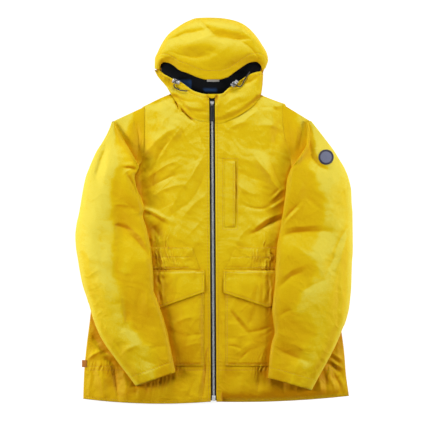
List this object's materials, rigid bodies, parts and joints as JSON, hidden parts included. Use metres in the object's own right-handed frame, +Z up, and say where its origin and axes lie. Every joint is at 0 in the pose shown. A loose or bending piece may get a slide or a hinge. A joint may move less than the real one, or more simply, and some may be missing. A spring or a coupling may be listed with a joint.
{
  "type": "hooded parka",
  "caption": "Hooded parka laid flat on its back, zip closed and sleeves folded over the front, with flap pockets, a ruched waist casing and a turning zip pull.",
  "frame": {"origin": "middle of the parka's outline, on the surface it lies on", "axes": "+Y runs from the hem to the hood, +X to the right of the parka as it is looked at from above, +Z up out of the front"},
  "size_m": [0.6654, 0.9275, 0.0442],
  "materials": {
    "shell": "crisp plain-woven cotton and nylon, mustard yellow, faint sheen",
    "lining": "near-black navy woven lining",
    "zip_tape": "black woven tape",
    "zip_teeth": "light grey coil",
    "zip_metal": "satin plated",
    "pull": "dark grey moulded",
    "badge": "slate with a darker rim, bare",
    "label_grey": "woven satin, bare",
    "label_tan": "woven tab, bare",
    "cord": "braided elastic cord, black",
    "lock": "translucent pale grey moulding"
  },
  "bodies": {
    "root": {"back_panel": "shell", "front_left": "shell", "front_right": "shell", "zip_tape_left": "zip_tape", "zip_tape_right": "zip_tape", "zip_teeth": "zip_teeth", "zip_box": "zip_teeth", "zip_slider": "zip_metal", "waist_casing_left": "shell", "waist_casing_right": "shell", "chest_pocket_welt": "shell", "pocket_left": "shell", "pocket_right": "shell", "flap_left": "shell", "flap_right": "shell", "side_label": "label_tan", "under_sleeve_left": "shell", "under_sleeve_right": "shell", "upper_sleeve_left": "shell", "upper_sleeve_right": "shell", "sleeve_badge": "badge", "hood_back": "shell", "hood_lining": "lining", "neck_label": "label_grey", "collar_left": "shell", "collar_right": "shell", "chin_guard": "shell", "hood_top": "shell", "cord_lock_left": "lock", "cord_lock_right": "lock", "hood_cord_left": "cord", "hood_cord_right": "cord"},
    "zip_pull": {"zip_pull": "pull"}
  },
  "joints": [
    {"name": "zip_pull_hinge", "type": "hinge", "parent": "root", "child": "zip_pull", "pos_m": [-0.00458, 0.2585, 0.0183], "axis": [-1, 0, 0], "range_deg": [0, 150]}
  ]
}
